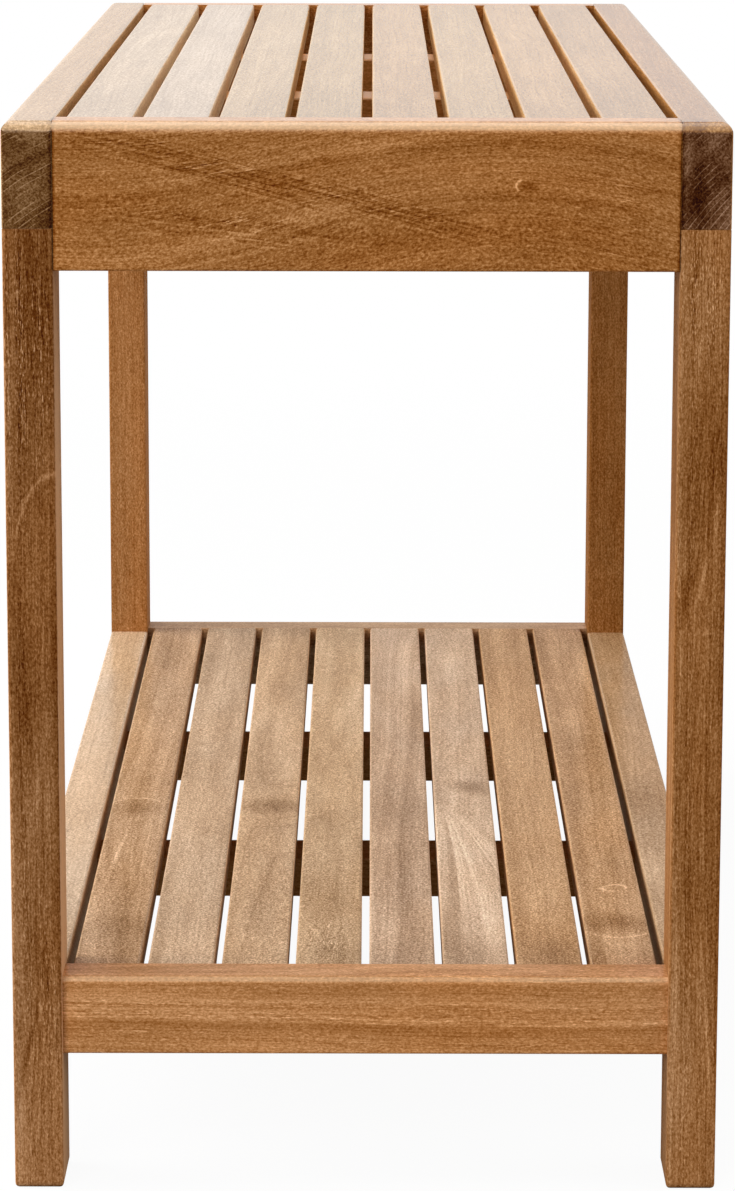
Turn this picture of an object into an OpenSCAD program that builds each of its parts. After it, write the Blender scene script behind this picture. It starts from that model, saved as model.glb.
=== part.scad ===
// Slatted teak shower bench with a lower shelf, in millimetres.
// X runs along the bench, Y across it and Z up. The origin is on the floor under the middle
// of the bench. "right" is the +X end and "back" is the +Y side.
// Every board is drawn at the +X, +Y side and mirrored to where it belongs.

/* [Overall] */
// Length over the two end aprons
bench_l = 760; // [560:10:1200]
// Width over the two side rails
bench_w = 300; // [240:2:420]
// Height of the seat above the floor
bench_h = 457; // [360:1:560]

/* [Frame] */
// Thickness of the legs and of both pairs of side rails, which lie flush
frame_t = 21; // [18:0.5:26]
// Depth of a leg along the bench
leg_d = 36; // [30:1:60]
// Height of the seat's side rails, which lie on top of the legs
seat_rail_h = 44; // [38:1:49]
// Thickness of the end aprons
apron_t = 21; // [16:0.5:26]
// Height of the end aprons
apron_h = 61.5; // [58:0.5:80]

/* [Slats] */
// Number of slats in the seat and in the shelf
slat_n = 8; // [5:1:12]
// Gap beside and between the seat's slats
seat_gap = 4.4; // [3:0.1:8]
// Gap beside and between the shelf's slats
shelf_gap = 3.5; // [3:0.1:8]
// Thickness of a slat
slat_t = 11; // [8:0.5:14]

/* [Shelf] */
// Height of the shelf's top above the floor
shelf_top_z = 93; // [70:1:180]
// Height of the shelf's side rails and end rails
shelf_rail_h = 34; // [31:1:50]
// Thickness of the shelf's end rails
end_rail_t = 21; // [16:0.5:24]
// How far the shelf's end rails stand back from the legs' outer faces
shelf_setback = 4; // [0:0.5:8]

/* [Battens] */
// Width of the cross battens under the slats
batten_w = 36; // [24:1:50]
// Thickness of the cross battens
batten_t = 19; // [14:0.5:21]
// Distance between the middles of a deck's two battens
batten_spacing = 234; // [160:2:300]

/* [Edges] */
// Round-over of the seat's outside edges
edge_r = 5; // [1:0.5:6]
// Round-over of the feet and of the shelf end rails' outside edges
foot_r = 3; // [1:0.5:5]
// Radius of the upright outside corners
corner_r = 1.5; // [0.5:0.5:4]
// Eased edge of the other long edges
arris_r = 1.2; // [0.4:0.1:2]
// Eased edge on both sides of a flush seam
seam_r = 0.5; // [0.2:0.1:0.8]

/* [Tenons] */
// Thickness of the frame's tenons
tenon_t = 8; // [6:0.5:10]
// Shoulder left around the frame's tenons, across their width
tenon_shoulder = 6; // [4:0.5:8]
// Length of the tenon on top of a leg
leg_tenon_l = 20; // [12:1:22]
// Length of the tenons on the shelf's end rails
end_tenon_l = 12; // [8:0.5:15]
// Wood left in a leg between its two shelf mortises
leg_web = 3; // [2:0.5:6]
// Length of the tenons on the battens
batten_tenon_l = 8; // [5:0.5:12]
// Shoulder left above and below a batten's tenon
batten_shoulder = 5; // [3:0.5:6]
// Thickness of the tongue on a slat's end
tongue_t = 4; // [3:0.5:6]
// Length of the tongue on a slat's end
tongue_l = 8; // [5:0.5:12]
// Shoulder left beside a slat's tongue
tongue_shoulder = 4.5; // [2:0.5:6]

/* [Dowels and screws] */
// Diameter of the aprons' dowels
dowel_d = 8; // [6:1:10]
// Length of dowel in the apron
dowel_in_apron = 18; // [12:1:30]
// Length of dowel in the side rail or the leg
dowel_in_side = 12; // [8:1:14]
// Distance of the upper dowels below the seat's top
dowel_drop = 12; // [9:0.5:14]
// Diameter of a slat screw's shank
screw_d = 3.5; // [3:0.5:5]
// Diameter of a slat screw's countersunk head
screw_head_d = 7; // [6:0.5:9]
// How far a slat screw bites into its slat
screw_bite = 6; // [3:0.5:7]
// Across-flats size of the square socket in a screw's head
socket_w = 2.4; // [1.6:0.1:2.8]

/* [Hidden] */
$fn = 48;
// Clearance on each side of a tenon, dowel or shank in its hole
slip = 0.1;
// Space for glue at the bottom of a blind hole
glue_gap = 0.5;
// Overlap that joins a tenon to its board and lets a cut break through the face
root = 1;
// Chamfer on the ends of a dowel
dowel_chamfer = 1;
// Rim of a screw's head, depth of its socket and length of its point
head_rim = 0.4;
socket_depth = 1.3;
tip_l = 3;
// Radius of the eased edges under a slat
slat_under_r = 0.5;

inner_w = bench_w - 2 * frame_t;
side_y = inner_w / 2;
side_mid_y = side_y + frame_t / 2;

end_x = bench_l / 2;
leg_in_x = end_x - leg_d;
leg_mid_x = end_x - leg_d / 2;
leg_h = bench_h - seat_rail_h;

apron_in_x = end_x - apron_t;
apron_mid_x = end_x - apron_t / 2;
apron_z = bench_h - apron_h;
dowel_zs = [bench_h - dowel_drop, (apron_z + leg_h) / 2];

end_rail_in_x = end_x - shelf_setback - end_rail_t;
end_rail_mid_x = end_rail_in_x + end_rail_t / 2;
shelf_rail_z = shelf_top_z - shelf_rail_h;
shelf_rail_mid_z = shelf_rail_z + shelf_rail_h / 2;
shelf_tenon_h = shelf_rail_h - 2 * tenon_shoulder;
side_tenon_l = end_rail_mid_x - tenon_t / 2 - slip - leg_web - glue_gap - leg_in_x;

// Width of a deck's slats, and the middle of slat i across the bench, counted from the front
function slat_w(gap) = (inner_w - (slat_n + 1) * gap) / slat_n;
function slat_y(i, gap) = -side_y + gap + slat_w(gap) / 2 + (i - 1) * (slat_w(gap) + gap);

// ---- Drawing helpers ----

// The wood that a router takes off a corner at the origin
module corner_waste(r) {
    if (r > 0) difference() {
        square([r, r]);
        translate([r, r]) circle(r);
    }
}

// A rectangle with its own radius at each corner, anticlockwise from the origin
module eased_rect(w, h, radii) {
    difference() {
        square([w, h]);
        corner_waste(radii[0]);
        translate([w, 0]) mirror([1, 0]) corner_waste(radii[1]);
        translate([w, h]) mirror([1, 0]) mirror([0, 1]) corner_waste(radii[2]);
        translate([0, h]) mirror([0, 1]) corner_waste(radii[3]);
    }
}

// Extrusions of an outline seen from the bench's end and from its side
module along_x(l) rotate([90, 0, 90]) linear_extrude(l) children();
module along_y(l) translate([0, l, 0]) rotate([90, 0, 0]) linear_extrude(l) children();

// A board with eased edges: the radii are those of its plan, its side view and its end view
module board(size, plan = [0, 0, 0, 0], side = [0, 0, 0, 0], end = [0, 0, 0, 0]) {
    intersection() {
        linear_extrude(size.z) eased_rect(size.x, size.y, plan);
        along_y(size.y) eased_rect(size.x, size.z, side);
        along_x(size.x) eased_rect(size.y, size.z, end);
    }
}

// A tenon on the shoulder plane, pointing along +Z, and the mortise that takes it
module tenon(w, h, l) translate([-w / 2, -h / 2, -root]) cube([w, h, l + root]);
module mortise(w, h, l) tenon(w + 2 * slip, h + 2 * slip, l + glue_gap);

module point_along_x() rotate([0, 90, 0]) children();
module point_along_y() rotate([-90, 0, 0]) children();

module to_side(s) mirror([0, s < 0 ? 1 : 0, 0]) children();
module to_end(s) mirror([s < 0 ? 1 : 0, 0, 0]) children();

// ---- Joints, drawn where they are at the +X, +Y corner ----

module at_leg_top() translate([leg_mid_x, side_mid_y, leg_h]) children();
module at_shelf_end_joint()
    translate([end_rail_mid_x, side_y, shelf_rail_mid_z]) point_along_y() children();
module at_shelf_side_joint()
    translate([leg_in_x, side_mid_y, shelf_rail_mid_z]) point_along_x() children();
module at_batten_joint(top_z)
    translate([batten_spacing / 2, side_y, top_z - slat_t - batten_t / 2])
        point_along_y() children();
module at_slat_joint(i, in_x, top_z, gap)
    translate([in_x, slat_y(i, gap), top_z - slat_t / 2]) point_along_x() children();

module leg_mortise() mortise(leg_d - 2 * tenon_shoulder, tenon_t, leg_tenon_l);
module batten_mortise()
    mortise(batten_w - 2 * tenon_shoulder, batten_t - 2 * batten_shoulder, batten_tenon_l);
module tongue_mortise(gap) mortise(tongue_t, slat_w(gap) - 2 * tongue_shoulder, tongue_l);

// The dowel holes at one corner, through the joint plane between an apron and its side
module dowel_holes() {
    for (z = dowel_zs)
        translate([apron_mid_x, side_y - dowel_in_apron - glue_gap, z])
            point_along_y()
                cylinder(d = dowel_d + 2 * slip,
                         h = dowel_in_apron + dowel_in_side + 2 * glue_gap);
}

// A chamfered dowel across the joint plane
module dowel() {
    r = dowel_d / 2;
    c = dowel_chamfer;
    l = dowel_in_apron + dowel_in_side;
    rotate_extrude() polygon([[0, 0], [r - c, 0], [r, c], [r, l - c], [r - c, l], [0, l]]);
}

// A countersunk screw's outline on its axis, head down, grown by a clearance
module screw_outline(grow) {
    head_r = screw_head_d / 2 + grow;
    shank_r = screw_d / 2 + grow;
    shank_z = head_rim + head_r - shank_r;
    end_z = batten_t + screw_bite + grow;
    rotate_extrude() polygon([
        [0, -grow], [head_r, -grow], [head_r, head_rim], [shank_r, shank_z],
        [shank_r, end_z - tip_l], [0, end_z]
    ]);
}

// One deck's screws or their holes, a screw for each slat at each batten
module deck_screws(top_z, gap, grow) {
    for (s = [-1, 1], i = [1 : slat_n])
        translate([s * batten_spacing / 2, slat_y(i, gap), top_z - slat_t - batten_t])
            screw_outline(grow);
}

// ---- Frame ----

// A leg under the seat's side rail, with its feet rounded all round
module leg(x_side, y_side) {
    color("#A9713F") to_end(x_side) to_side(y_side) difference() {
        union() {
            translate([leg_in_x, side_y, 0])
                board([leg_d, frame_t, leg_h],
                      plan = [arris_r, arris_r, corner_r, arris_r],
                      side = [foot_r, foot_r, seam_r, 0],
                      end = [foot_r, foot_r, seam_r, 0]);
            at_leg_top() tenon(leg_d - 2 * tenon_shoulder, tenon_t, leg_tenon_l);
        }
        at_shelf_end_joint() mortise(tenon_t, shelf_tenon_h, end_tenon_l);
        at_shelf_side_joint() mortise(shelf_tenon_h, tenon_t, side_tenon_l);
        dowel_holes();
    }
}

// A seat side rail, whose end grain shows at both ends of the bench
module seat_rail(y_side) {
    color("#8A5E38") to_side(y_side) difference() {
        translate([-end_x, side_y, bench_h - seat_rail_h])
            board([bench_l, frame_t, seat_rail_h],
                  plan = [seam_r, seam_r, corner_r, corner_r],
                  side = [seam_r, seam_r, edge_r, edge_r],
                  end = [0, seam_r, edge_r, arris_r]);
        for (s = [-1, 1]) to_end(s) {
            at_leg_top() leg_mortise();
            at_batten_joint(bench_h) batten_mortise();
            dowel_holes();
        }
    }
}

// An end apron, flush with the rails' ends and mortised for the seat slats
module seat_apron(x_side) {
    color("#B97F48") to_end(x_side) difference() {
        translate([apron_in_x, -side_y, apron_z])
            board([apron_t, inner_w, apron_h],
                  plan = [0, seam_r, seam_r, 0],
                  side = [arris_r, arris_r, edge_r, 0]);
        for (i = [1 : slat_n])
            at_slat_joint(i, apron_in_x, bench_h, seat_gap) tongue_mortise(seat_gap);
        for (s = [-1, 1]) to_side(s) dowel_holes();
    }
}

// ---- Decks ----

// A slat between two end boards whose inner faces are at +in_x and -in_x
module slat(i, in_x, top_z, gap) {
    difference() {
        union() {
            translate([-in_x, slat_y(i, gap) - slat_w(gap) / 2, top_z - slat_t])
                board([2 * in_x, slat_w(gap), slat_t],
                      end = [slat_under_r, slat_under_r, arris_r, arris_r]);
            for (s = [-1, 1]) to_end(s)
                at_slat_joint(i, in_x, top_z, gap)
                    tenon(tongue_t, slat_w(gap) - 2 * tongue_shoulder, tongue_l);
        }
        deck_screws(top_z, gap, slip);
    }
}

module seat_slat(i) color("#DDC09A") slat(i, apron_in_x, bench_h, seat_gap);
module shelf_slat(i) color("#C79A68") slat(i, end_rail_in_x, shelf_top_z, shelf_gap);

// A batten across the underside of a deck, housed in the side rails
module batten(x_side, top_z, gap) {
    color("#9C6A3C") difference() {
        to_end(x_side) union() {
            translate([(batten_spacing - batten_w) / 2, -side_y, top_z - slat_t - batten_t])
                board([batten_w, inner_w, batten_t],
                      side = [arris_r, arris_r, arris_r, arris_r]);
            for (s = [-1, 1]) to_side(s)
                at_batten_joint(top_z)
                    tenon(batten_w - 2 * tenon_shoulder,
                          batten_t - 2 * batten_shoulder, batten_tenon_l);
        }
        deck_screws(top_z, gap, slip);
    }
}

// A shelf side rail, tenoned between two legs and flush with their outer faces
module shelf_rail(y_side) {
    color("#C08E5A") to_side(y_side) difference() {
        union() {
            translate([-leg_in_x, side_y, shelf_rail_z])
                board([2 * leg_in_x, frame_t, shelf_rail_h],
                      plan = [0, 0, seam_r, seam_r],
                      end = [arris_r, arris_r, arris_r, arris_r]);
            for (s = [-1, 1]) to_end(s)
                at_shelf_side_joint() tenon(shelf_tenon_h, tenon_t, side_tenon_l);
        }
        for (s = [-1, 1]) to_end(s) at_batten_joint(shelf_top_z) batten_mortise();
    }
}

// A shelf end rail between two legs, mortised for the shelf slats
module shelf_end_rail(x_side) {
    color("#B67C45") to_end(x_side) difference() {
        union() {
            translate([end_rail_in_x, -side_y, shelf_rail_z])
                board([end_rail_t, inner_w, shelf_rail_h],
                      side = [arris_r, arris_r, foot_r, 0]);
            for (s = [-1, 1]) to_side(s)
                at_shelf_end_joint() tenon(tenon_t, shelf_tenon_h, end_tenon_l);
        }
        for (i = [1 : slat_n])
            at_slat_joint(i, end_rail_in_x, shelf_top_z, shelf_gap) tongue_mortise(shelf_gap);
    }
}

// ---- Fastenings ----

// Two dowels at each corner hold an apron to its rail and its leg
module apron_dowels() {
    color("#D8BE94")
        for (x_side = [-1, 1], y_side = [-1, 1], z = dowel_zs)
            to_end(x_side) to_side(y_side)
                translate([apron_mid_x, side_y - dowel_in_apron, z]) point_along_y() dowel();
}

// Screws come up through the battens, with square sockets in their heads
module slat_screws(top_z, gap) {
    color("#B9BCC0") difference() {
        deck_screws(top_z, gap, 0);
        for (s = [-1, 1], i = [1 : slat_n])
            translate([s * batten_spacing / 2, slat_y(i, gap), top_z - slat_t - batten_t - root])
                translate([-socket_w / 2, -socket_w / 2, 0])
                    cube([socket_w, socket_w, socket_depth + root]);
    }
}

// ---- The nodes ----

leg(-1, -1);  // leg_left_front
leg(-1, 1);  // leg_left_back
leg(1, -1);  // leg_right_front
leg(1, 1);  // leg_right_back
seat_rail(-1);  // seat_rail_front
seat_rail(1);  // seat_rail_back
seat_apron(-1);  // seat_apron_left
seat_apron(1);  // seat_apron_right
for (i = [1 : slat_n])
    seat_slat(i);
batten(-1, bench_h, seat_gap);  // seat_batten_left
batten(1, bench_h, seat_gap);  // seat_batten_right
shelf_rail(-1);  // shelf_rail_front
shelf_rail(1);  // shelf_rail_back
shelf_end_rail(-1);  // shelf_end_rail_left
shelf_end_rail(1);  // shelf_end_rail_right
for (i = [1 : slat_n])
    shelf_slat(i);
batten(-1, shelf_top_z, shelf_gap);  // shelf_batten_left
batten(1, shelf_top_z, shelf_gap);  // shelf_batten_right
apron_dowels();
slat_screws(bench_h, seat_gap);  // seat_slat_screws
slat_screws(shelf_top_z, shelf_gap);  // shelf_slat_screws
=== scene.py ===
# %% [markdown]
# # A slatted teak shower bench
#
# The construction comes finished: every board, tenon, dowel and screw is already a solid
# of its real size. What is left is how it looks. Teak is most of that, so most of this
# lesson is about one material, cut again for each board, and about the light that a pale
# studio throws on it.
#
# They are never moved here.

import math
import random

import bpy
from mathutils import Euler, Matrix, Vector


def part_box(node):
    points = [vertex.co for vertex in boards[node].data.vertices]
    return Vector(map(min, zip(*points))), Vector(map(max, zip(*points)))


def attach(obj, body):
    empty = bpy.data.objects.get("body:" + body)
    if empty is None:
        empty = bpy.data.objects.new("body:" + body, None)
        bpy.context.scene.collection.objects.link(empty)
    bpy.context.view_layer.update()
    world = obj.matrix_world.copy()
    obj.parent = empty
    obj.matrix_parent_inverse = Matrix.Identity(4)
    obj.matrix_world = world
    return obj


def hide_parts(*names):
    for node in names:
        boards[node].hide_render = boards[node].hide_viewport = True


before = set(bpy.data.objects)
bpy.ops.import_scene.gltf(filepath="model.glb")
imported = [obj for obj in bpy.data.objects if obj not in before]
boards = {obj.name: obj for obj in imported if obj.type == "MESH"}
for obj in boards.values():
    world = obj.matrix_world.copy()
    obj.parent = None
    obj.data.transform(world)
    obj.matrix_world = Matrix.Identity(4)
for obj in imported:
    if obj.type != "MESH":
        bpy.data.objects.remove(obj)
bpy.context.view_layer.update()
MM = 0.001
ENDS = ("left", "right")
SLATS = range(1, 9)


def middle_of(node):
    """The middle of a board's box, in metres."""
    low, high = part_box(node)
    return (low + high) / 2


# %% [markdown]
# ## The camera
#
# The picture is a portrait of the bench's end, taken from a little above the seat. A long
# lens keeps the far end almost as large as the near one. The distance, the tilt and the
# lens belong together: the ratio of the far end to the near end gives the distance, the
# height of the far edge above the near edge gives the eye's height, and the width of the
# near end in the picture then gives the focal length. The bench's real width sets the scale
# of all three. Blender's sensor is 36 mm on the picture's longer side.

# %% Place the camera
EYE = Vector((2.18219, 0.00223, 0.62014))
LOOK_DOWN = math.radians(11.31)
LOOK_ASIDE = math.radians(-0.05)
LEAN = math.radians(0.11)
FOCAL_PIXELS = 4403.15
PICTURE_HEIGHT = 1191
SENSOR = 36.0

lens = bpy.data.cameras.new("end_view")
lens.sensor_width = SENSOR
lens.lens = FOCAL_PIXELS * SENSOR / PICTURE_HEIGHT
lens.clip_end = 100
camera = bpy.data.objects.new("end_view", lens)
bpy.context.scene.collection.objects.link(camera)

ahead = Vector((
    -math.cos(LOOK_DOWN) * math.cos(LOOK_ASIDE),
    math.cos(LOOK_DOWN) * math.sin(LOOK_ASIDE),
    -math.sin(LOOK_DOWN),
))
right = Vector((math.sin(LOOK_ASIDE), math.cos(LOOK_ASIDE), 0))
above = right.cross(ahead)
leant_right = math.cos(LEAN) * right + math.sin(LEAN) * above
leant_above = math.cos(LEAN) * above - math.sin(LEAN) * right
turn = Matrix((leant_right, leant_above, -ahead)).transposed()
camera.matrix_world = Matrix.Translation(EYE) @ turn.to_4x4()
bpy.context.scene.camera = camera
print(f"lens of {lens.lens:.1f} mm at {EYE.length:.2f} m")

# %% [markdown]
# ## Writing shader maths as Python
#
# A wood material is a sum of many small patterns. Wired by hand, that is a wall of Math
# nodes. Here a node's output is wrapped in a `Socket`, and `+`, `-`, `*` and `/` on it add
# the Math nodes, so a formula reads like a formula. Every other node comes from
# `Finish.node`, which takes the node's type, its settings and the values of its sockets.
# Colours never go through Math nodes, which would turn them grey: they are mixed.


# %% A socket and a finish
class Socket:
    """A node's output, on which Python's operators add Math nodes."""

    def __init__(self, finish, output):
        self.finish = finish
        self.output = output

    def siblings(self):
        """All the outputs of this output's node."""
        return [Socket(self.finish, output) for output in self.output.node.outputs]

    def __add__(self, other):
        return self.finish.maths("ADD", self, other)

    def __sub__(self, other):
        return self.finish.maths("SUBTRACT", self, other)

    def __rsub__(self, other):
        return self.finish.maths("SUBTRACT", other, self)

    def __mul__(self, other):
        return self.finish.maths("MULTIPLY", self, other)

    def __truediv__(self, other):
        return self.finish.maths("DIVIDE", self, other)

    __radd__ = __add__
    __rmul__ = __mul__


class Finish:
    """The nodes of a material or of the world."""

    def __init__(self, owner):
        self.owner = owner
        owner.use_nodes = True
        self.tree = owner.node_tree
        self.tree.nodes.clear()

    def node(self, kind, settings=None, inputs=None, output=0):
        """Adds a node: first its settings, then the values or links of its sockets."""
        made = self.tree.nodes.new(kind)
        for name, value in (settings or {}).items():
            if name == "stops":
                self.set_stops(made.color_ramp.elements, value)
            else:
                setattr(made, name, value)
        for name, value in (inputs or {}).items():
            if isinstance(value, Socket):
                self.tree.links.new(value.output, made.inputs[name])
            else:
                made.inputs[name].default_value = value
        return Socket(self, made.outputs[output]) if made.outputs else made

    @staticmethod
    def set_stops(elements, stops):
        """Gives a ramp its stops, each a place from 0 to 1 and a colour."""
        for element, (place, shade) in zip(elements, stops):
            element.position = place
            element.color = shade
        for place, shade in stops[len(elements):]:
            elements.new(place).color = shade

    def maths(self, operation, *values):
        return self.node("ShaderNodeMath", {"operation": operation}, dict(enumerate(values)))

    def smooth(self, value, low, high):
        """0 at low and 1 at high, with a soft step between."""
        return self.node(
            "ShaderNodeMapRange",
            {"interpolation_type": "SMOOTHSTEP"},
            {"Value": value, "From Min": low, "From Max": high},
        )

    def mix(self, factor, first, second, blend="MIX"):
        """Mixes two colours. A Mix node's colour sockets are numbers 6 and 7."""
        return self.node(
            "ShaderNodeMix",
            {"data_type": "RGBA", "blend_type": blend},
            {0: factor, 6: first, 7: second},
            output=2,
        )

    def stretch(self, place, along, across, through):
        """Squeezes space, so that a pattern of size 1 comes out with these lengths."""
        return self.node(
            "ShaderNodeVectorMath",
            {"operation": "MULTIPLY"},
            {0: place, 1: (1 / along, 1 / across, 1 / through)},
        )

    def length(self, place):
        return self.node(
            "ShaderNodeVectorMath", {"operation": "LENGTH"}, {0: place}, output="Value")

    def noise(self, place, detail=2.0, roughness=0.5, output="Fac"):
        return self.node(
            "ShaderNodeTexNoise",
            {"noise_dimensions": "3D"},
            {"Vector": place, "Scale": 1.0, "Detail": detail, "Roughness": roughness},
            output=output,
        )

    def bands(self, distance, detail=2.0, roughness=0.5):
        """Noise along one number: bands that never repeat."""
        return self.node(
            "ShaderNodeTexNoise",
            {"noise_dimensions": "1D"},
            {"W": distance, "Scale": 1.0, "Detail": detail, "Roughness": roughness},
        )


DARKEST = 0.02


def colour(code, step=0):
    """A web colour such as #A9713F, some steps lighter or darker, in Blender's linear light."""
    channels = [(int(code[i:i + 2], 16) + step) / 255 for i in (1, 3, 5)]
    channels = [min(max(channel, DARKEST), 1.0) for channel in channels]
    linear = [c / 12.92 if c <= 0.04045 else ((c + 0.055) / 1.055) ** 2.4 for c in channels]
    return (*linear, 1.0)


# %% [markdown]
# ## Cutting a board from a log
#
# Painting grain on each face of a board never quite works, because the lines don't meet at
# the edges and the end grain is missing. So the pattern is a solid one: a whole tree, with
# growth rings round its heart, and each board is a piece sawn from it. Then the sides, the
# edges and the ends agree by themselves, as they do in real wood.
#
# Object coordinates are the bench's own metres. The first Mapping node turns them into
# millimetres from the middle of the board, as `along` the grain, `across` it and `through`
# it. The second one says where in a tree the board was: how far from the heart, and how
# much askew, which makes the grain run out of the face.

# %% How a board lies, and where in the tree it was
LIES = {
    "lengthwise": ((1, 0, 0), (0, 1, 0), (0, 0, 1)),
    "crosswise": ((0, 1, 0), (-1, 0, 0), (0, 0, 1)),
    "on edge": ((0, 1, 0), (0, 0, 1), (1, 0, 0)),
    "upright": ((0, 0, 1), (0, 1, 0), (-1, 0, 0)),
}
TREE_LENGTH = 9000
ASKEW = (math.radians(0.6), math.radians(0.8))


class Board:
    """A board of the bench, measured from its own middle, in millimetres."""

    def __init__(self, node, lie):
        self.node = node
        self.turn = Matrix(LIES[lie])
        self.middle = self.turn @ (middle_of(node) / MM)
        self.end_axis = LIES[lie][0].index(1)
        self.side_axis = [abs(part) for part in LIES[lie][1]].index(1)
        self.finish = Finish(bpy.data.materials.new(f"wood_{node}"))
        metres = self.finish.node("ShaderNodeTexCoord", output="Object")
        self.place = self.finish.node(
            "ShaderNodeMapping",
            inputs={
                "Vector": metres,
                "Scale": (1 / MM, 1 / MM, 1 / MM),
                "Rotation": self.turn.to_euler(),
                "Location": -self.middle,
            },
        )

    def in_tree(self, heart):
        """The same place in a tree whose heart runs along the first axis."""
        height = random.Random(self.node).uniform(0, TREE_LENGTH)
        return self.finish.node(
            "ShaderNodeMapping",
            inputs={
                "Vector": self.place,
                "Rotation": Euler((0, *ASKEW)),
                "Location": (height, heart[0], heart[1]),
            },
        )


# %% [markdown]
# ## Marks that belong to one place
#
# Every real board has its own marks: a knot, a smudge, a streak where the grain dived. Each
# is a soft oval on the board's face. A Mapping node of the Texture type shrinks and turns
# the oval to a ball of radius 1, and the distance from its middle then gives the mask. A
# mark's place is written in the bench's millimetres, so it can be read off a drawing.
#
# A mark is always a row of its middle, its half sizes, its turn in degrees, what else its
# kind needs, and last its push. That is how much lighter, or darker with a minus, it makes
# the wood. For a lively spot it is how lively the grain gets there, and for a bend how many
# millimetres it moves the rings.

# %% A mark's mask
DEEP = 120
STREAK = 1.3


def mark_space(board, at, size, turn=0):
    """Space in which a mark is a ball of radius 1 round the middle."""
    return board.finish.node(
        "ShaderNodeMapping",
        {"vector_type": "TEXTURE"},
        {
            "Vector": board.place,
            "Location": board.turn @ Vector(at) - board.middle,
            "Rotation": Euler((0, 0, math.radians(turn))),
            "Scale": (size[0], size[1], DEEP),
        },
    )


def oval(board, at, size, turn=0):
    """1 in the middle of a mark and 0 outside it."""
    return board.finish.smooth(board.finish.length(mark_space(board, at, size, turn)), 1.0, 0.0)


def streaks(board, at, size, turn):
    """Fine lines, dark and pale, that run the length of a mark."""
    finish = board.finish
    place = mark_space(board, at, size, turn)
    fine = finish.stretch(place, 0.4, STREAK / size[1], 4 * STREAK / DEEP)
    lines = finish.noise(fine, detail=2.0, roughness=0.7)
    return (lines - 0.5) * finish.smooth(finish.length(place), 1.0, 0.3)


def rays(board, at, size, turn, count):
    """Pale fingers that fan out from a point, as round a branch's foot."""
    finish = board.finish
    place = mark_space(board, at, size, turn)
    x, y, z = finish.node("ShaderNodeSeparateXYZ", inputs={0: place}).siblings()
    angle = finish.maths("ARCTAN2", y, x)
    far = finish.length(place)
    fingers = finish.bands(count * (angle + 0.35 * far), detail=2.0, roughness=0.7)
    reach = finish.smooth(far, 1.0, 0.5) * finish.smooth(far, 0.02, 0.2)
    ahead_only = finish.smooth(finish.maths("ABSOLUTE", angle), 1.3, 0.5)
    return finish.smooth(fingers, 0.36, 0.66) * reach * ahead_only


def arc(board, at, size, turn, thick):
    """Part of a thin oval line, as where a pin knot lifted the grain."""
    finish = board.finish
    place = mark_space(board, at, size, turn)
    x, y, z = finish.node("ShaderNodeSeparateXYZ", inputs={0: place}).siblings()
    off_line = finish.maths("ABSOLUTE", finish.length(place) - 1.0)
    return finish.smooth(off_line, thick / min(size), 0.0) * finish.smooth(x, 0.0, 0.6)


def pushes(board, marks, draw=oval):
    """The sum of some marks of one kind, each times its push."""
    return sum((push * draw(board, *mark) for *mark, push in marks), 0.0)


# %% [markdown]
# ## Growth rings that wander
#
# The distance from the heart is what the rings follow. A perfect distance gives perfect
# circles, like a target, so the place is first pushed about by soft noise that is long
# with the grain and short across it. A bend in the trunk or a knot pushes the rings out
# over a long or a small oval, and the lines on the face flow round it.
#
# The finer patterns are then laid in the tree's own directions, along the grain, out from
# the heart and round it, so that they flow with the rings as well.

# %% The flow of the grain
SLOW_WANDER = ((420, 60, 60), 6.0)
QUICK_WANDER = ((80, 15, 15), 1.0)


def flow_of_grain(board, look):
    """A point's place along the grain, out from the heart and round it, and its way out."""
    finish = board.finish
    place = board.in_tree(look["heart"])
    for size, push in (SLOW_WANDER, QUICK_WANDER):
        drift = finish.noise(finish.stretch(place, *size), detail=1.0, output="Color")
        centred = finish.node(
            "ShaderNodeVectorMath", {"operation": "SUBTRACT"}, {0: drift, 1: (0.5, 0.5, 0.5)})
        amount = 2 * push * look["wander"]
        place = finish.node(
            "ShaderNodeVectorMath",
            {"operation": "MULTIPLY_ADD"},
            {0: centred, 1: (0, amount, amount), 2: place},
        )
    along, y, z = finish.node("ShaderNodeSeparateXYZ", inputs={0: place}).siblings()
    heart_y, heart_z = look["heart"]
    far = math.hypot(heart_y, heart_z)
    out = finish.maths("SQRT", y * y + z * z) - far + pushes(board, look["bends"])
    round_heart = (y * heart_z - z * heart_y) / far
    flow = finish.node("ShaderNodeCombineXYZ", inputs={0: along, 1: out, 2: round_heart})
    return flow, out


# %% [markdown]
# ## What teak is made of
#
# Seen close, a sanded teak board is made of a few things: broad clouds of lighter and darker
# brown; the growth rings, in bands on a face and sharp on an end; fine lines along the
# grain; fibres, and a sandy speckle where the open pores catch the light; and short pale
# flecks and dark dashes, which crowd together where the grain is lively. Each is noise,
# stretched along the grain, out from the heart and round it by its own lengths in
# millimetres. A minus only picks another part of the same noise.
#
# The recipe is that of a plain board. Every real one differs from it in a few entries,
# which are handed in when the board is cut.

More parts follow.
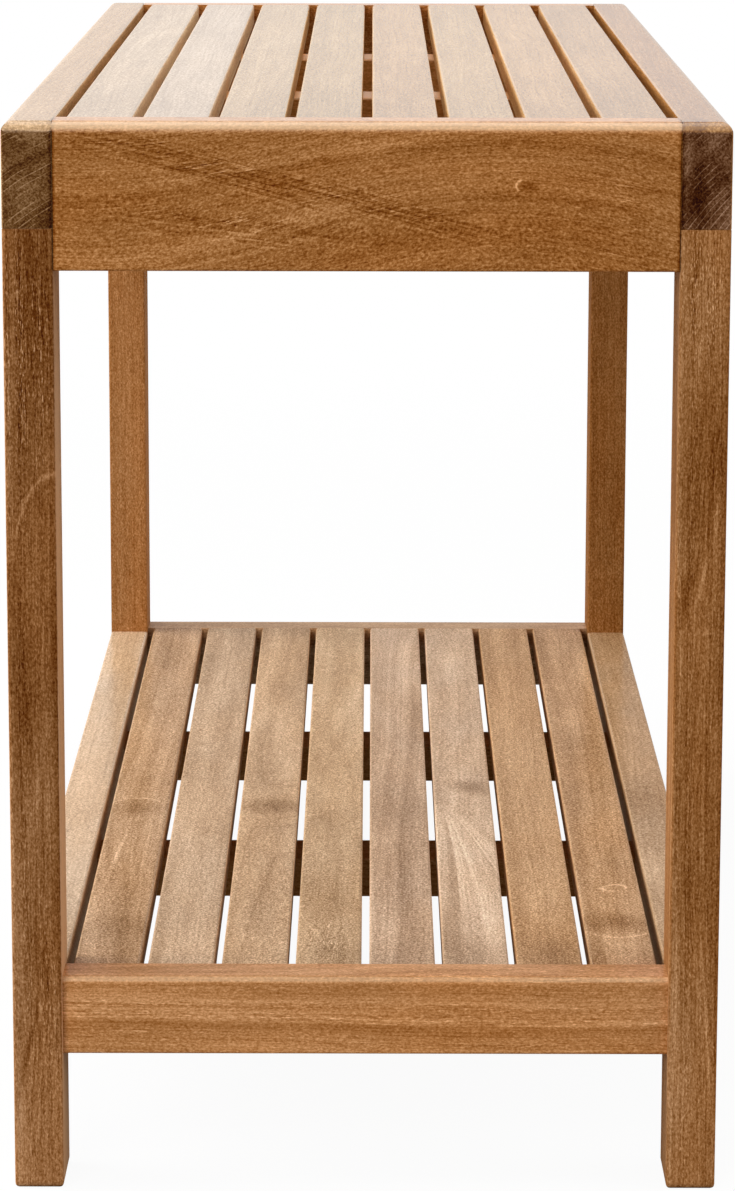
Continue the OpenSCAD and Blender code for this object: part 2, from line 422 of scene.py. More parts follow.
# %% The recipe of a plain board
CLOUDS = (140, 18, 18)
LINES = (70, 0.8, 5.0)
FIBRES = (9, 1.4, 1.4)
SAND = (1.3, 0.85, 0.85)
BLUSH = (120, 34, -34)
END_LINES = (400, 9, 14)
RINGS = 0.05
TEAK = {
    # Its brown, the heart's place across and through it, a year's growth, how far the
    # rings wander, and where they bend
    "body": "#A5743F",
    "heart": (52, 48),
    "ring": 3.2,
    "wander": 1.0,
    "bends": (),
    # The share of each pattern
    "clouds": 0.35,
    "bands": 0.25,
    "lines": 0.14,
    "fibres": 0.3,
    "sand": 0.6,
    # Lively grain, all over and in spots; the share of its flecks and dashes, and how
    # long and how thick they are
    "lively": 0.25,
    "lively_spots": (),
    "dashes": 0.3,
    "fleck": (3.2, 0.6),
    "dash": (6.0, 0.7),
    # Other marks
    "stains": (),
    "streaks": (),
    "rays": (),
    "arcs": (),
    # How much its sides and its top are painted lighter, which is painted light; its sawn ends'
    # own brown; how pale its upward edges are painted, partly wear and partly a painted
    # highlight; how much its hue varies, and how polished its top is
    "side": 0.0,
    "top": 0.0,
    "end": "#60401F",
    "worn": 0.12,
    "blush": 0.6,
    "polish": 0.15,
}


def late_wood(finish, out, ring):
    """The line that ends each year's growth: it comes in softly and stops sharply."""
    years = out / ring + 1.3 * finish.bands(out / (3.1 * ring), detail=1.0)
    phase = finish.maths("FRACT", years)
    return finish.smooth(phase, 0.80, 0.95) * finish.smooth(phase, 1.0, 0.97)


def patterns(finish, flow, out, ring):
    """The patterns that run through the whole board, each round 0.5."""
    return {
        "clouds": finish.noise(finish.stretch(flow, *CLOUDS), detail=3.0, roughness=0.55),
        "bands": finish.bands(out / (2.0 * ring), detail=2.0, roughness=0.6),
        "lines": finish.noise(finish.stretch(flow, *LINES), detail=1.0),
        "fibres": finish.noise(finish.stretch(flow, *FIBRES), detail=2.0, roughness=0.6),
        "sand": finish.noise(finish.stretch(flow, *SAND), detail=1.0, roughness=0.7),
    }


def lively_grain(board, flow, out, look):
    """How lively the grain is, and its pale flecks and its dark dashes."""
    finish = board.finish
    crowded = finish.smooth(finish.bands(out / (1.5 * look["ring"]), detail=1.0), 0.42, 0.62)
    lively = look["lively"] * (0.3 + crowded)
    lively = lively + pushes(board, look["lively_spots"]) * (0.4 + crowded)
    long, thick = look["fleck"]
    fleck = finish.noise(finish.stretch(flow, long, thick, thick), detail=1.0)
    long, thick = look["dash"]
    dash = finish.noise(finish.stretch(flow, -long, thick, thick), detail=1.0)
    flecks = lively * finish.smooth(fleck, 0.56, 0.68)
    dashes = lively * finish.smooth(dash, 0.54, 0.68)
    return lively, flecks, dashes


# %% [markdown]
# ## Which way a face looks
#
# The end of a board drinks more oil than its sides, so it is darker. Rounded edges that look
# up are painted paler: partly wear from sanding and handling, and partly a painted highlight
# where they catch the light. The top is polished by use. The sides and the top can also be
# painted lighter, as painted light. All of this could be painted on, but the face's own
# normal already tells where it belongs: along the board on an end, straight up on top, and
# along no axis at all on an edge.


# %% Ends, sides, edges and tops
def facing(board):
    """Masks of the sawn ends, the sides, the rounded edges and the faces that look up."""
    finish = board.finish
    normal = finish.node("ShaderNodeNewGeometry", output="Normal")
    parts = finish.node("ShaderNodeSeparateXYZ", inputs={0: normal}).siblings()
    sizes = [finish.maths("ABSOLUTE", part) for part in parts]
    largest = finish.maths("MAXIMUM", finish.maths("MAXIMUM", sizes[0], sizes[1]), sizes[2])
    return (
        finish.smooth(sizes[board.end_axis], 0.45, 0.9) * finish.smooth(parts[2], 0.35, 0.12),
        finish.smooth(sizes[board.side_axis], 0.75, 0.95),
        finish.smooth(largest, 0.995, 0.86) * finish.smooth(parts[2], 0.0, 0.4),
        finish.smooth(parts[2], 0.0, 0.5),
    )


# %% [markdown]
# ## Teak, as one function
#
# The patterns and marks are added to one number, `tone`, and a ramp turns it into colour.
# The ramp runs from the board's own brown some steps down and as many up, alike in all three
# channels, because that is how oiled teak varies: its shadows are richer and its highlights
# creamier. On a sawn end the year's last growth shows as a thin pale line.
#
# Bare wood is dull, but at a glancing look even dull wood shines. A clear coat does that on
# the faces that look up. It is why the top of the bench goes so pale toward the far end
# while its front stays deep brown.

# %% The teak
RAMP_REACH = 72
RAMP_STOPS = 5
COOL_TINT = (0.97, 1.0, 1.08, 1)
WARM_TINT = (1.05, 0.985, 0.91, 1)
# The pale brown of upward edges: partly wear, partly a painted highlight.
EDGE_WEAR_AND_HIGHLIGHT_BROWN = colour("#DCC09C")
BARE_WOOD_IOR = 1.1
BARE_WOOD_ROUGHNESS = 0.75
POLISH_IOR = 1.6
POLISH_ROUGHNESS = 0.2
PORE_DEPTH = 0.25 * MM
PORE_STRENGTH = 0.3


def ramp(finish, tone, code):
    """A board's colour, from some steps under its own brown to as many above."""
    last = RAMP_STOPS - 1
    return finish.node(
        "ShaderNodeValToRGB",
        {"stops": [
            (stop / last, colour(code, RAMP_REACH * (2 * stop / last - 1)))
            for stop in range(RAMP_STOPS)
        ]},
        {"Fac": tone},
    )


def teak(node, lie, **character):
    """Cuts a board's teak from the tree and puts it on that board."""
    look = {**TEAK, **character}
    board = Board(node, lie)
    finish = board.finish
    flow, out = flow_of_grain(board, look)
    grain = patterns(finish, flow, out, look["ring"])
    late = late_wood(finish, out, look["ring"])
    lively, flecks, dashes = lively_grain(board, flow, out, look)
    ends, sides, edges, upward = facing(board)
    stains = pushes(board, look["stains"])

    # Sides and tops made lighter here are painted light.
    tone = 0.5 + look["side"] * sides + look["top"] * upward + stains - RINGS * late
    for name in ("clouds", "bands", "fibres", "sand"):
        tone = tone + look[name] * (grain[name] - 0.5)
    lines = look["lines"] + 0.6 * lively * look["dashes"]
    tone = tone + lines * (grain["lines"] - 0.5) + look["dashes"] * (flecks - 0.6 * dashes)
    for kind, draw in (("streaks", streaks), ("rays", rays), ("arcs", arc)):
        tone = tone + pushes(board, look[kind], draw)
    wood = ramp(finish, tone, look["body"])
    blush = finish.noise(finish.stretch(flow, *BLUSH), detail=2.0)
    tint = finish.mix(finish.smooth(blush, 0.35, 0.65), COOL_TINT, WARM_TINT)
    wood = finish.mix(look["blush"], wood, tint, blend="MULTIPLY")
    # Upward edges made paler: partly wear, partly a painted highlight.
    wood = finish.mix(look["worn"] * edges, wood, EDGE_WEAR_AND_HIGHLIGHT_BROWN)

    broken = finish.smooth(finish.noise(finish.stretch(flow, *END_LINES)), 0.42, 0.6)
    end_tone = 0.5 + 0.42 * late * broken + stains
    for name, share in (("sand", 1.0), ("clouds", 0.8), ("bands", 0.5)):
        end_tone = end_tone + share * (grain[name] - 0.5)
    wood = finish.mix(ends, wood, ramp(finish, end_tone, look["end"]))

    sheen = 0.0
    if look["polish"]:
        sheen = look["polish"] * upward * (0.8 + 0.2 * grain["fibres"] + 0.2 * grain["sand"])
    height = 0.5 * grain["fibres"] + 0.6 * grain["sand"] + 0.5 * flecks - 0.8 * dashes
    pores = {"Strength": PORE_STRENGTH, "Distance": PORE_DEPTH, "Height": height}
    shader = finish.node(
        "ShaderNodeBsdfPrincipled",
        inputs={
            "Base Color": wood,
            "Roughness": BARE_WOOD_ROUGHNESS + 0.25 * (grain["sand"] - 0.5),
            "IOR": BARE_WOOD_IOR,
            "Coat Weight": sheen,
            "Coat IOR": POLISH_IOR,
            "Coat Roughness": POLISH_ROUGHNESS,
            "Normal": finish.node("ShaderNodeBump", inputs=pores),
        },
    )
    finish.node("ShaderNodeOutputMaterial", inputs={"Surface": shader})
    for material_slot in boards[node].material_slots:
        material_slot.material = finish.owner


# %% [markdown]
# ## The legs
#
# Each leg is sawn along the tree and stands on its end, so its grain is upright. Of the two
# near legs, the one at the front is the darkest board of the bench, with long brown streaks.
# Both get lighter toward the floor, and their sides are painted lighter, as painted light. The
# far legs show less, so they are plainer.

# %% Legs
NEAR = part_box("leg_right_front")[1].x / MM
LEG = {
    "clouds": 0.55, "bands": 0.55, "lines": 0.3, "sand": 0.85, "lively": 0.5, "dashes": 0.32,
    "fleck": (2.4, 0.5), "dash": (7.0, 0.6),
}
teak(
    "leg_right_front", "upright", body="#83542A", ring=2.6, worn=0.0,
    stains=[
        ((NEAR, -140, 20), (120, 40), 0, 0.23),
        ((NEAR, -140, 130), (70, 40), 0, 0.1),
        ((NEAR, -140, 230), (60, 40), 0, -0.05),
        ((NEAR, -143, 215), (45, 9), 0, -0.12),
        ((NEAR, -139, 400), (90, 40), 0, -0.06),
        ((NEAR, -144, 60), (34, 2), 12, -0.2),
        ((NEAR, -139, 84), (14, 1.4), -8, 0.18),
        ((NEAR, -134, 202), (14, 1.2), 0, 0.14),
    ],
    arcs=[((NEAR, -130, 268.4), (42, 17), 0, 0.9, 0.22)],
    streaks=[
        ((NEAR, -140, 120), (90, 10), 2, 0.7), ((NEAR, -140, 390), (60, 10), -4, 0.55),
        ((NEAR, -138, 50), (60, 10), 6, 0.8), ((NEAR, -141, 220), (70, 10), -3, 0.5),
    ],
    # Painted light: the sides of this leg are painted much lighter.
    side=0.48,
    lively_spots=[((NEAR, -140, 360), (70, 30), 0, 0.9), ((NEAR, -134, 90), (60, 8), 0, 0.8)],
    **LEG,
)
teak(
    "leg_right_back", "upright", body="#915F31", ring=2.8, worn=0.0,
    stains=[
        ((NEAR, 140, 30), (110, 40), 0, 0.08),
        ((NEAR, 140, 400), (70, 30), 0, 0.1),
        ((NEAR, 138, 310), (50, 18), 0, -0.12),
        ((NEAR, 134, 260), (22, 5), 10, -0.2),
        ((NEAR, 146, 293), (22, 1.6), 5, 0.2),
        ((NEAR, 140, 265), (20, 1.6), 13, 0.24),
        ((NEAR, 145, 73), (62, 1.3), -3.6, 0.2),
        ((NEAR, 137, 115), (60, 6), 0, -0.1),
    ],
    lively_spots=[((NEAR, 141, 390), (40, 14), 0, 0.9)],
    streaks=[
        ((NEAR, 140, 300), (60, 10), 8, 0.8), ((NEAR, 141, 100), (100, 9), -3, 0.65),
        ((NEAR, 140, 410), (50, 10), 3, 0.65), ((NEAR, 140, 205), (70, 10), 4, 0.6),
    ],
    side=0.08,
    **LEG,
)
for node, body in (("leg_left_front", "#A06D3E"), ("leg_left_back", "#8E5D2E")):
    teak(node, "upright", body=body, sand=0.75, dashes=0.2)
print("legs finished")

# %% [markdown]
# ## The seat's frame
#
# The two side rails lie on top of the legs and run the whole length, so their ends show as
# dark blocks in the corners. The aprons between them are cut from a wider board, whose
# grain sweeps down across the face: one wide bend of the rings does that. Dirt and shade
# gather where two boards meet, so thin dark stains mark the joints at the bench's end. The
# rails' sides and the aprons' tops are painted a little lighter, as painted light, and the
# aprons' upper rounded edges much paler, partly wear and partly a painted highlight.

# %% Seat rails and aprons
SEAT_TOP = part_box("seat_rail_front")[1].z / MM
# The near end of the seat is painted darker: painted shade, standing in for the fainter sheen
# there.
SEAT_NEAR_END_PAINTED_SHADE = ((NEAR, 0, SEAT_TOP), (330, 900), 0, -0.09)
# The seat's upper edges are painted paler: partly wear, partly a painted highlight.
SEAT = {
    "lively": 0.2, "sand": 1.2, "clouds": 0.3, "bands": 0.2, "lines": 0.25, "dashes": 0.15,
    "polish": 0.84, "blush": 0.1, "worn": 0.2,
}
RAIL_Z = middle_of("seat_rail_front").z / MM
JOINT_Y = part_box("seat_apron_right")[1].y / MM
JOINT_SHADE = -0.3


def joint_seam(y):
    """The dark line along a seat rail's joint with the apron, at both ends of the bench."""
    return [((x, y, RAIL_Z), (22, 2.4), 0, JOINT_SHADE) for x in (-NEAR, NEAR)]


# The rails' sides are painted a little lighter: painted light.
teak(
    "seat_rail_front", "lengthwise", body="#B68F62", heart=(-85, 125), end="#623F1C",
    ring=2.5, wander=0.6, side=0.1, stains=joint_seam(-JOINT_Y), **SEAT,
)
teak(
    "seat_rail_back", "lengthwise", body="#A47138", heart=(-80, 75), end="#68442A",
    ring=2.2, wander=0.7, side=0.1,
    stains=[
        *joint_seam(JOINT_Y),
        ((NEAR, 140, SEAT_TOP), (380, 30), 0, -0.07),
        ((NEAR, 136, 437), (30, 6), 0, -0.2),
    ],
    **SEAT,
)
APRON = {
    "body": "#9F6834",
    "heart": (120, 14),
    "bands": 0.3,
    "lines": 0.24,
    "dashes": 0.28,
    "sand": 1.0,
    "fibres": 0.22,
    "fleck": (9.0, 0.5),
    "dash": (22.0, 0.5),
    "polish": 0.8,
    # Paler upper edges, partly wear and partly a painted highlight, and a lighter top, painted
    # light.
    "worn": 0.5,
    "top": 0.25,
    "lively": 0.2,
    "bends": [((NEAR, 60, 425), (180, 200), 0, -30)],
    "lively_spots": [
        ((NEAR, -70, 440), (70, 9), -15, 1.0),
        ((NEAR, 5, 424), (66, 8), -14, 1.0),
        ((NEAR, -50, 416), (80, 7), -7, 1.0),
        ((NEAR, 103, 436), (12, 24), 10, 0.8),
        ((NEAR, 110, 408), (30, 7), 20, 0.6),
    ],
    "streaks": [
        ((NEAR, -60, 436), (95, 12), -14, 1.1),
        ((NEAR, 10, 421), (75, 10), -14, 1.1),
        ((NEAR, -55, 412), (85, 8), -6, 1.0),
        ((NEAR, 95, 415), (50, 22), 12, 0.35),
        ((NEAR, 60, 448), (70, 6), 2, 0.35),
    ],
    "stains": [
        ((NEAR, -72, 440), (80, 7), -16, -0.13),
        ((NEAR, 12, 421), (70, 6), -16, -0.13),
        ((NEAR, -50, 415), (95, 5), -6, -0.13),
        ((NEAR, 0, 446), (24, 9), 0, 0.08),
        ((NEAR, 90, 425), (70, 40), 0, -0.07),
        ((NEAR, 66, 430.5), (6, 3), 0, -0.3),
        ((NEAR, -JOINT_Y, 426), (1.6, 400), 0, JOINT_SHADE),
        ((NEAR, JOINT_Y, 426), (1.6, 400), 0, JOINT_SHADE),
    ],
    "arcs": [((NEAR, 63.6, 431.0), (2.3, 2.3), 160, 0.8, 0.5)],
}
for end in ENDS:
    teak(f"seat_apron_{end}", "on edge", **APRON)
print("seat frame finished")

# %% [markdown]
# ## The slats
#
# Eight slats a deck, each from another place in the tree, so no two have the same tone. The
# seat's are polished and plain, and their sides are painted lighter, which is painted light in
# the gaps; their near end is painted darker, as painted shade. The shelf's lie in the shade of
# the seat and are seen from higher above, so their own marks show: smudges, a fan round a
# branch's foot, pin knots. Long dark stains toward their near ends are painted shade of the
# seat, and a pale far end on some is painted light.

# %% Slats
SEAT_BROWNS = (
    "#C0A280", "#C3A88C", "#B99669", "#B08B59", "#B2864F", "#B48C57", "#B4874F", "#AC804B")
# Their sides are painted lighter: painted light in the gaps between them.
for number in SLATS:
    teak(
        f"seat_slat_{number}", "lengthwise", body=SEAT_BROWNS[number - 1],
        stains=[SEAT_NEAR_END_PAINTED_SHADE], side=0.28, **SEAT,
    )
SHELF_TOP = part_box("shelf_slat_1")[1].z / MM
# Painted light: the shelf's far end is painted paler.
SHELF_FAR_END_PAINTED_LIGHT = ((-330, 0, SHELF_TOP), (420, 900), 0, 0.09)
# The long dark stains across a slat's width toward the near end, from about 190 mm on, are
# painted shade of the seat.
SHELF_MARKS = {
    1: {
        "body": "#B08A64",
        "stains": [
            ((-290, -114, SHELF_TOP), (80, 14), 0, -0.17),
            ((-70, -114, SHELF_TOP), (110, 14), 0, 0.09),
            ((80, -113, SHELF_TOP), (24, 26), 0, -0.2),
            ((294, -108, SHELF_TOP), (26, 26), 0, -0.12),
            ((180, -118, SHELF_TOP), (60, 1.8), -3, 0.2),
            ((200, -109, SHELF_TOP), (70, 1.4), 3, 0.14),
        ],
        "arcs": [((80, -113, SHELF_TOP), (20, 14), 180, 1.2, 0.16)],
        "streaks": [((190, -113, SHELF_TOP), (120, 15), -2, 0.4)],
        "bands": 0.45,
        "heart": (30, 70),
    },
    2: {"body": "#BD9C7A", "stains": [((180, -82, SHELF_TOP), (90, 7), 0, 0.05)]},
    3: {
        "body": "#BB9771",
        "stains": [
            ((310, -48, SHELF_TOP), (100, 30), 0, -0.09),
            ((76, -48, SHELF_TOP), (22, 28), 12, -0.22),
            ((-180, -48, SHELF_TOP), (60, 14), 0, -0.06),
        ],
        "streaks": [((220, -46, SHELF_TOP), (110, 15), 4, 0.35)],
        "bands": 0.5,
        "heart": (-14, 80),
        "bends": [((76, -40, SHELF_TOP), (60, 26), 0, 9)],
    },
    4: {
        "body": "#BB976F",
        "bands": 0.4,
        "heart": (12, 64),
        "stains": [
            SHELF_FAR_END_PAINTED_LIGHT,
            ((305, -22, SHELF_TOP), (34, 2), 14, 0.14),
            ((100, -18, SHELF_TOP), (90, 16), 0, -0.1),
            ((260, -18, SHELF_TOP), (110, 18), 0, -0.12),
            ((345, -18, SHELF_TOP), (50, 16), 0, -0.14),
        ],
        "lively_spots": [((320, -16, SHELF_TOP), (50, 14), 0, 0.8)],
    },
    5: {
        "body": "#BE9C7C",
        "streaks": [((230, 14, SHELF_TOP), (150, 15), 0, 0.45)],
        "bands": 0.5,
        "heart": (-46, 30),
        "stains": [
            SHELF_FAR_END_PAINTED_LIGHT,
            ((73, 14, SHELF_TOP), (75, 18), 0, -0.1),
            ((200, 14, SHELF_TOP), (110, 18), 0, -0.09),
            ((350, 14, SHELF_TOP), (60, 18), 0, -0.07),
            ((-120, 14, SHELF_TOP), (60, 12), 0, 0.06),
        ],
    },
    6: {
        "body": "#C9A888",
        "rays": [((62.8, 36.5, SHELF_TOP), (300, 50), 4, 5, 0.28)],
        "stains": [
            ((36, 52, SHELF_TOP), (24, 15), 20, -0.3),
            ((200, 46, SHELF_TOP), (120, 18), 0, -0.13),
            ((340, 46, SHELF_TOP), (100, 18), 0, -0.18),
        ],
    },
    7: {
        "body": "#BC9164",
        "stains": [
            ((190, 80, SHELF_TOP), (80, 18), 0, -0.1),
            ((330, 80, SHELF_TOP), (70, 18), 0, -0.11),
        ],
    },
    8: {
        "body": "#B68C62",
        "bands": 0.4,
        "stains": [
            ((-60, 112, SHELF_TOP), (70, 18), 0, -0.1),
            ((190, 112, SHELF_TOP), (80, 18), 0, -0.06),
            ((288, 112, SHELF_TOP), (26, 26), 15, -0.26),
            ((-41, 109, SHELF_TOP), (7, 16), 20, 0.08),
        ],
        "arcs": [
            ((229, 114, SHELF_TOP), (6, 5), 150, 1.6, 0.34),
            ((229, 114, SHELF_TOP), (6, 5), -60, 1.6, 0.28),
            ((288, 112, SHELF_TOP), (24, 18), 0, 1.4, 0.2),
        ],
    },
}
# Their sides are painted a little lighter: painted light.
for number, marks in SHELF_MARKS.items():
    teak(
        f"shelf_slat_{number}", "lengthwise", lines=0.1, fibres=0.22, sand=1.3, clouds=0.55,
        blush=0.3, worn=0.1, side=0.08, **marks,
    )
print("slats finished")

# %% [markdown]
# ## The shelf's frame and the battens
#
# The shelf's rails are polished by what is pushed over them, and less so at the back. The
# battens run crosswise under the slats. The seat's show through its gaps as pale dots, for
# the light comes down on their tops, and their tops are painted much lighter as well, which
# is painted light. The shelf's lie in the dark, and are bare wood. The end rails' tops are
# painted a little lighter, as painted light, and their upper edges paler, partly wear and
# partly a painted highlight.

# %% Shelf rails and battens
# Painted light at the far end and painted shade of the seat toward the near end, as on the slats.
teak(
    "shelf_rail_front", "lengthwise", body="#C6A581", polish=0.4, sand=1.0, side=0.06,
    stains=[SHELF_FAR_END_PAINTED_LIGHT, ((330, -137, SHELF_TOP), (140, 30), 0, -0.12)],
)
teak(
    "shelf_rail_back", "lengthwise", body="#AF8A63", polish=0.2, sand=1.0,
    stains=[((60, 137, SHELF_TOP), (60, 30), 0, -0.1), ((200, 137, SHELF_TOP), (50, 30), 0, 0.1)],
)
# The end rails' and the seat battens' tops are painted lighter: painted light.
for end, body in zip(ENDS, ("#B08A64", "#B9804C")):
    teak(
        f"shelf_end_rail_{end}", "on edge", body=body, heart=(90, 10), lively=0.6,
        bands=0.6, lines=0.27, fibres=0.15, sand=0.75, polish=0.2, worn=0.3, top=0.14,
        streaks=[((0, -20, 78), (120, 14), -1, 0.4)],
    )
    teak(f"seat_batten_{end}", "crosswise", body="#BE8449", top=0.55, polish=0.3)
    teak(f"shelf_batten_{end}", "crosswise", body="#A8743F", polish=0.0)
print("shelf frame finished")

# %% [markdown]
# ## The dowels
#
# The dowels sit inside the aprons' joints and only show when the bench is taken apart. They
# are beech, a pale plain wood: the same recipe with its patterns turned down.

# %% Dowels
teak(
    "apron_dowels", "crosswise", body="#D3B084", end="#C09B6E", lively=0.0, bands=0.1,
    lines=0.1, blush=0.1,
)
print("dowels finished")

# %% [markdown]
# ## Stainless steel
#
# Screws are turned, so their steel has fine rings round the shank. Noise that is squeezed
# along the screw gives them, and drives the colour and the roughness together.

# %% Steel
RINGS_ON_STEEL = (1.5 * MM, 1.5 * MM, 0.12 * MM)
steel = Finish(bpy.data.materials.new("screw_steel"))
metres = steel.node("ShaderNodeTexCoord", output="Object")
turning = steel.noise(steel.stretch(metres, *RINGS_ON_STEEL), detail=2.0)
steel_shader = steel.node(
    "ShaderNodeBsdfPrincipled",
    inputs={
        "Base Color": steel.mix(turning, colour("#A9ABAE"), colour("#D2D3D4")),
        "Metallic": 1.0,
        "Roughness": 0.22 + 0.25 * turning,
    },
)
steel.node("ShaderNodeOutputMaterial", inputs={"Surface": steel_shader})
print("steel ready")

# %% [markdown]
# ## One screw
#
# The screws that hold the slats come up from below through the battens, so their heads look
# at the floor and show when the bench is turned over. A screw is all rings on one axis: a
# thin disc is the rim of the head, and its upper face is extruded and narrowed again and
# again, into the countersink, the shank and the point. The square socket that the driver
# fits is cut with a Boolean, as a punch does it in the real head.

# %% The screw's body
SIDES = 24
HEAD_RADIUS = 3.5
HEAD_RIM = 0.4
SHANK_RADIUS = 1.75
CORE_RADIUS = 1.2
POINT_RADIUS = 0.1
THREAD_START = 10.0
# Radius and height of each ring after the head's rim, up to the point
PROFILE = (
    (SHANK_RADIUS, 2.15), (SHANK_RADIUS, 9.4), (CORE_RADIUS, THREAD_START),
    (CORE_RADIUS, 22.0), (POINT_RADIUS, 25.0))
SOCKET = 2.4
SOCKET_DEEP = 1.3


def pick_faces(piece, chosen):
    """Leaves the piece in edit mode with only the chosen faces selected."""
    bpy.ops.object.mode_set(mode="EDIT")
    bpy.ops.mesh.select_mode(type="FACE")
    bpy.ops.mesh.select_all(action="DESELECT")
    bpy.ops.object.mode_set(mode="OBJECT")
    for face in piece.data.polygons:
        face.select = chosen(face)
    bpy.ops.object.mode_set(mode="EDIT")


bpy.ops.object.select_all(action="DESELECT")
bpy.ops.mesh.primitive_cylinder_add(
    vertices=SIDES, radius=HEAD_RADIUS * MM, depth=HEAD_RIM * MM,
    location=(0, 0, HEAD_RIM / 2 * MM))
screw = bpy.context.object
bpy.ops.object.transform_apply(location=True, rotation=True, scale=True)
pick_faces(screw, lambda face: face.normal.z > 0.9)
radius, height = HEAD_RADIUS, HEAD_RIM
for next_radius, next_height in PROFILE:
    rise = (0, 0, (next_height - height) * MM)
    bpy.ops.mesh.extrude_region_move(TRANSFORM_OT_translate={"value": rise})
    narrow = next_radius / radius
    bpy.ops.transform.resize(
        value=(narrow, narrow, 1), center_override=(0, 0, next_height * MM))
    radius, height = next_radius, next_height
bpy.ops.object.mode_set(mode="OBJECT")

bpy.ops.object.select_all(action="DESELECT")
bpy.ops.mesh.primitive_cube_add(size=SOCKET * MM)
cutter = bpy.context.object
cutter.scale.z = 2 * SOCKET_DEEP / SOCKET
bpy.ops.object.transform_apply(location=True, rotation=True, scale=True)
bpy.ops.object.select_all(action="DESELECT")
screw.select_set(True)
bpy.context.view_layer.objects.active = screw
socket_cut = screw.modifiers.new("socket", "BOOLEAN")
socket_cut.object = cutter
bpy.ops.object.modifier_apply(modifier=socket_cut.name)
bpy.data.objects.remove(cutter)
print(f"a screw of {height:.0f} mm, {len(screw.data.polygons)} faces")

# %% [markdown]
# ## Its thread
#
# A thread is a ridge wound round the core. A circle of three vertices is the ridge's
# section, turned to point outwards, and the Screw modifier winds it up the axis. It starts
# where the shank ends, because the shank has to slip through the batten.

# %% The screw's thread
RIDGE = 0.42
THREAD_PITCH = 1.9
THREAD_TURNS = 6
STEPS_A_TURN = 14
CREASE = math.radians(35)
outwards = Matrix.Rotation(math.pi / 2, 4, "X") @ Matrix.Rotation(-math.pi / 2, 4, "Z")
bpy.ops.object.select_all(action="DESELECT")
bpy.ops.mesh.primitive_circle_add(
    vertices=3, radius=RIDGE * MM, rotation=outwards.to_euler(),
    location=((SHANK_RADIUS - RIDGE) * MM, 0, THREAD_START * MM))
thread = bpy.context.object
bpy.ops.object.transform_apply(location=True, rotation=True, scale=True)
winding = thread.modifiers.new("winding", "SCREW")
winding.screw_offset = THREAD_PITCH * MM
winding.iterations = THREAD_TURNS
winding.steps = winding.render_steps = STEPS_A_TURN
bpy.ops.object.modifier_apply(modifier=winding.name)
bpy.ops.object.mode_set(mode="EDIT")
bpy.ops.mesh.select_all(action="SELECT")
bpy.ops.mesh.fill_holes(sides=3)
bpy.ops.mesh.normals_make_consistent(inside=False)
bpy.ops.object.mode_set(mode="OBJECT")
screw.select_set(True)
bpy.context.view_layer.objects.active = screw
bpy.ops.object.join()
screw.data.materials.clear()
screw.data.materials.append(steel.owner)
bpy.ops.object.shade_smooth_by_angle(angle=CREASE)
print(f"with its thread, {len(screw.data.polygons)} faces")

# %% [markdown]
# ## All the screws
#
# One screw holds each slat at each batten: in the middle of the batten's width and of the
# slat's, with its head at the batten's underside. The copies of a deck are joined, and take
# the place of the plain screws that came with the construction.

# %% All the screws
for deck in ("seat", "shelf"):
    bpy.ops.object.select_all(action="DESELECT")
    for end in ENDS:
        batten = f"{deck}_batten_{end}"
        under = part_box(batten)[0].z
        for number in SLATS:
            spot = (middle_of(batten).x, middle_of(f"{deck}_slat_{number}").y, under)
            copy = bpy.data.objects.new(f"{deck}_screws", screw.data.copy())
            copy.data.transform(Matrix.Translation(spot))
            bpy.context.scene.collection.objects.link(copy)
            copy.select_set(True)
            bpy.context.view_layer.objects.active = copy
    bpy.ops.object.join()
    screws = bpy.context.object
    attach(screws, "root")
    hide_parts(f"{deck}_slat_screws")
    print(f"{screws.name}: {len(screws.data.polygons)} faces")
bpy.data.objects.remove(screw)

# %% [markdown]
# ## The room
#
# The bench stands in a white studio on a pale floor. Cycles asks what kind of ray looks at
# the floor or the sky, and the Light Path node answers. To the camera, and in reflections,
# both are nearly pure white. To the light that bounces about they are a plain grey, so the
# room doesn't flood the bench from all sides, and its gaps and its underside stay dark.
# Near the bench the floor keeps some of its real shading, and so the bench's shadow.


# %% What the camera sees of the room
def seen_as_background(finish):
    """1 for rays from the camera, from a reflection or through glass."""
    path = finish.node("ShaderNodeLightPath")
    outputs = {socket.output.name: socket for socket in path.siblings()}
    kinds = ("Is Camera Ray", "Is Glossy Ray", "Is Transmission Ray")
    return finish.maths("MINIMUM", sum(outputs[kind] for kind in kinds), 1.0)


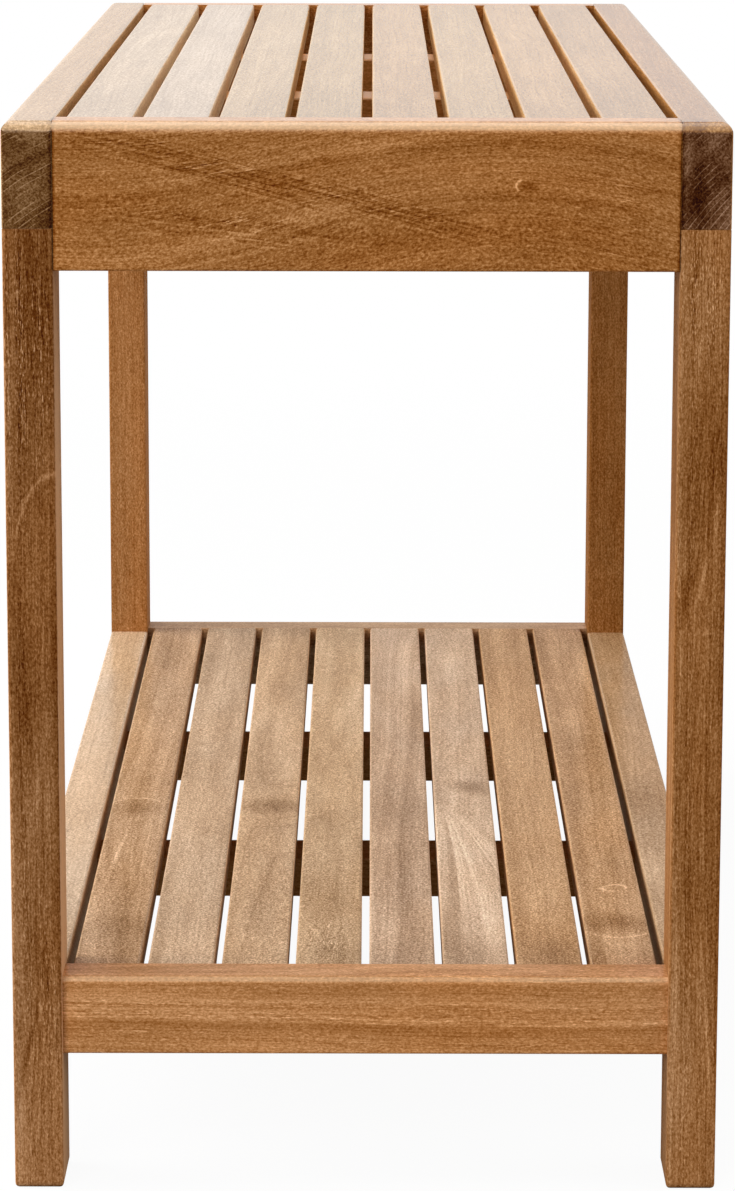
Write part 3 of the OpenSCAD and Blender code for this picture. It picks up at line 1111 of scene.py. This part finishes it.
# %% Floor
FLOOR_SIZE = 40.0
SHADOW_NEAR = 0.7
SHADOW_FAR = 2.2
SHADOW_SHARE = 0.055
WHITE = (1, 1, 1, 1)
bpy.ops.object.select_all(action="DESELECT")
bpy.ops.mesh.primitive_plane_add(size=FLOOR_SIZE, location=(0, 0, 0))
floor = bpy.context.object
floor.name = "floor"
paint = Finish(bpy.data.materials.new("white_floor"))
real = paint.node("ShaderNodeBsdfDiffuse", inputs={"Color": colour("#8E8C89")})
pale = paint.node("ShaderNodeBsdfDiffuse", inputs={"Color": colour("#F4F4F2")})
glow = paint.node("ShaderNodeEmission", inputs={"Color": WHITE, "Strength": 1.0})
from_middle = paint.length(paint.node("ShaderNodeTexCoord", output="Object"))
shadow = SHADOW_SHARE * paint.smooth(from_middle, SHADOW_FAR, SHADOW_NEAR)
shown = paint.node("ShaderNodeMixShader", inputs={0: shadow, 1: glow, 2: pale})
surface = paint.node(
    "ShaderNodeMixShader", inputs={0: seen_as_background(paint), 1: real, 2: shown})
paint.node("ShaderNodeOutputMaterial", inputs={"Surface": surface})
floor.data.materials.append(paint.owner)
print(f"a floor of {FLOOR_SIZE:.0f} m")

# %% [markdown]
# ## The lamps and the sky
#
# Four soft square lamps, as in a small studio. The window at the front side is the main one
# and gives the legs their form. The one at the near end lights the aprons, the fill at the
# back keeps the far side from going black, and a weak one overhead opens up the shelf.


# %% Lamps and sky
def lamp(name, place, aim, size, power):
    """A square lamp of a size in metres, at a place and aimed at another."""
    light = bpy.data.lights.new(name, "AREA")
    light.shape = "SQUARE"
    light.size = size
    light.energy = power
    holder = bpy.data.objects.new(name, light)
    bpy.context.scene.collection.objects.link(holder)
    holder.location = place
    holder.rotation_euler = (Vector(aim) - Vector(place)).to_track_quat("-Z", "Y").to_euler()
    print(f"{name}: {power} W")


lamp("overhead", (0, -0.2, 2.1), (0, 0, 0.4), 1.4, 12)
lamp("window", (-0.1, -2.4, 1.35), (0, 0, 0.2), 1.8, 72)
lamp("front", (2.7, -1.2, 1.2), (0, 0, 0.25), 1.6, 45)
lamp("fill", (0.6, 2.4, 1.0), (0, 0, 0.2), 1.6, 30)

BOUNCED_LIGHT = 0.35
sky = bpy.data.worlds.new("studio")
bpy.context.scene.world = sky
room = Finish(sky)
dim = room.node(
    "ShaderNodeBackground", inputs={"Color": WHITE, "Strength": BOUNCED_LIGHT})
white = room.node("ShaderNodeBackground", inputs={"Color": WHITE, "Strength": 1.0})
both = room.node("ShaderNodeMixShader", inputs={0: seen_as_background(room), 1: dim, 2: white})
room.node("ShaderNodeOutputWorld", inputs={"Surface": both})
bpy.context.scene.view_settings.view_transform = "Standard"
